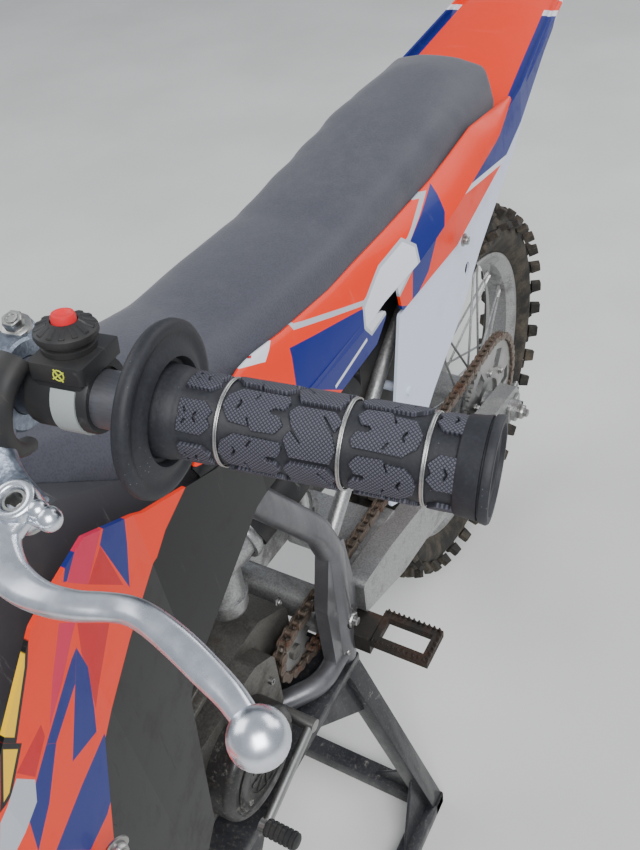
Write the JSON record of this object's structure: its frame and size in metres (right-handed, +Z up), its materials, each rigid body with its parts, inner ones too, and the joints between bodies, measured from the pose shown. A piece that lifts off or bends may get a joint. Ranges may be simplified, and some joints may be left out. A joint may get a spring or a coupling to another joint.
{
  "type": "motocross bike",
  "caption": "Motocross bike on a paddock stand, with knobbly wire wheels that spin, turning handlebar and fork, chain drive and moulded orange, blue and white bodywork.",
  "frame": {"origin": "on the floor under the middle of the bike's box, between the wheels", "axes": "+X towards the front wheel, +Y to the rider's left, +Z up"},
  "size_m": [2.16, 0.823, 1.2488],
  "materials": {
    "frame_grey": "satin",
    "alloy": "satin",
    "engine_grey": "cast",
    "cover_black": "satin",
    "rusty_steel": "worn",
    "tank_plastic": "matt",
    "seat_vinyl": "textured vinyl",
    "orange_plastic": "gloss",
    "white_plastic": "gloss",
    "black_plastic": "matt",
    "steel": "satin",
    "chain_steel": "worn",
    "black_metal": "satin",
    "clamp_metal": "anodised",
    "chrome_steel": "polished",
    "bar_grey": "worn",
    "pad_foam": "vinyl cover",
    "grip_rubber": "soft",
    "polished_alloy": "polished",
    "tyre_rubber": "soft"
  },
  "bodies": {
    "frame_body": {"airbox": "black_plastic", "brake_pedal": "steel", "carburettor": "alloy", "chain": "chain_steel", "crankcase": "engine_grey", "cylinder": "engine_grey", "engine_covers": "cover_black", "exhaust_pipe": "rusty_steel", "footpegs": "steel", "frame_cradle": "frame_grey", "frame_rails": "frame_grey", "frame_spine": "frame_grey", "front_sprocket": "steel", "fuel_tank": "tank_plastic", "gear_lever": "steel", "kick_lever": "steel", "radiators": "alloy", "rear_caliper": "black_metal", "rear_fender": "orange_plastic", "seat": "seat_vinyl", "shock": "steel", "shroud_left": "orange_plastic", "shroud_right": "orange_plastic", "side_panel_left": "white_plastic", "side_panel_right": "white_plastic", "silencer": "alloy", "skid_plate": "alloy", "stand": "black_metal", "subframe": "alloy", "swingarm": "alloy"},
    "steering": {"steering_stem": "clamp_metal", "upper_clamp": "clamp_metal", "fork_outers": "alloy", "fork_inners": "chrome_steel", "fork_guards": "orange_plastic", "handlebar": "bar_grey", "bar_pad": "pad_foam", "grip_left": "grip_rubber", "grip_right": "grip_rubber", "clutch_perch": "clamp_metal", "clutch_lever": "polished_alloy", "kill_switch": "black_plastic", "brake_perch": "clamp_metal", "brake_lever": "polished_alloy", "throttle_housing": "black_plastic", "front_fender": "orange_plastic", "front_plate": "white_plastic", "front_axle": "steel", "front_caliper": "black_metal"},
    "front_wheel": {"front_tyre": "tyre_rubber", "front_rim": "alloy", "front_disc": "steel"},
    "rear_wheel": {"rear_tyre": "tyre_rubber", "rear_rim": "alloy", "rear_disc": "steel", "rear_sprocket": "steel"}
  },
  "joints": [
    {"name": "steering_turn", "type": "hinge", "parent": "frame_body", "child": "steering", "pos_m": [0.3295, 0, 1.06359], "axis": [-0.4462, 0, 0.8949], "range_deg": [-42, 42]},
    {"name": "front_wheel_spin", "type": "hinge", "parent": "steering", "child": "front_wheel", "pos_m": [0.733, 0, 0.382], "axis": [0, 1, 0], "continuous": true},
    {"name": "rear_wheel_spin", "type": "hinge", "parent": "frame_body", "child": "rear_wheel", "pos_m": [-0.742, 0, 0.375], "axis": [0, 1, 0], "continuous": true}
  ]
}
